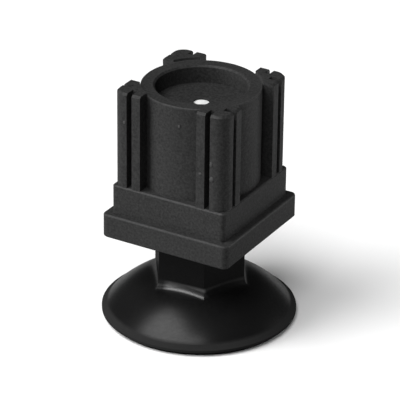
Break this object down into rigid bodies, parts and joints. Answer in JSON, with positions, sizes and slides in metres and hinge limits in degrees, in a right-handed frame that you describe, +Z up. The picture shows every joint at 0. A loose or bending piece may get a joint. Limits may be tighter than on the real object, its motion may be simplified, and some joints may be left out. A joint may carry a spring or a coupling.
{
  "type": "adjustable cabinet leg",
  "caption": "Black plastic levelling leg for a square tube, with a slit square plug, a screw and a domed foot with a hexagon neck.",
  "frame": {"origin": "on the floor, in the middle of the ring that the foot stands on", "axes": "+Z up along the screw, +X and +Y square to the plug's faces"},
  "size_m": [0.0552, 0.0552, 0.0707],
  "materials": {
    "plug_plastic": "satin moulded",
    "foot_plastic": "smooth moulded",
    "screw_steel": "bright zinc",
    "bush_brass": "turned"
  },
  "bodies": {
    "foot": {"foot_base": "foot_plastic", "screw": "screw_steel"},
    "bush": {"threaded_bush": "bush_brass"},
    "plug": {"tube_plug": "plug_plastic"}
  },
  "joints": [
    {"name": "height_rise", "type": "slide", "parent": "foot", "child": "bush", "axis": [0, 0, 1], "range_m": [0, 0.0245]},
    {"name": "plug_turn", "type": "hinge", "parent": "bush", "child": "plug", "pos_m": [0, 0, 0.03385], "axis": [0, 0, 1], "range_deg": [0, 5040]}
  ],
  "couplings": [
    {"joint": "height_rise", "follows": "plug_turn", "m_per_rad": 0.00027852}
  ]
}
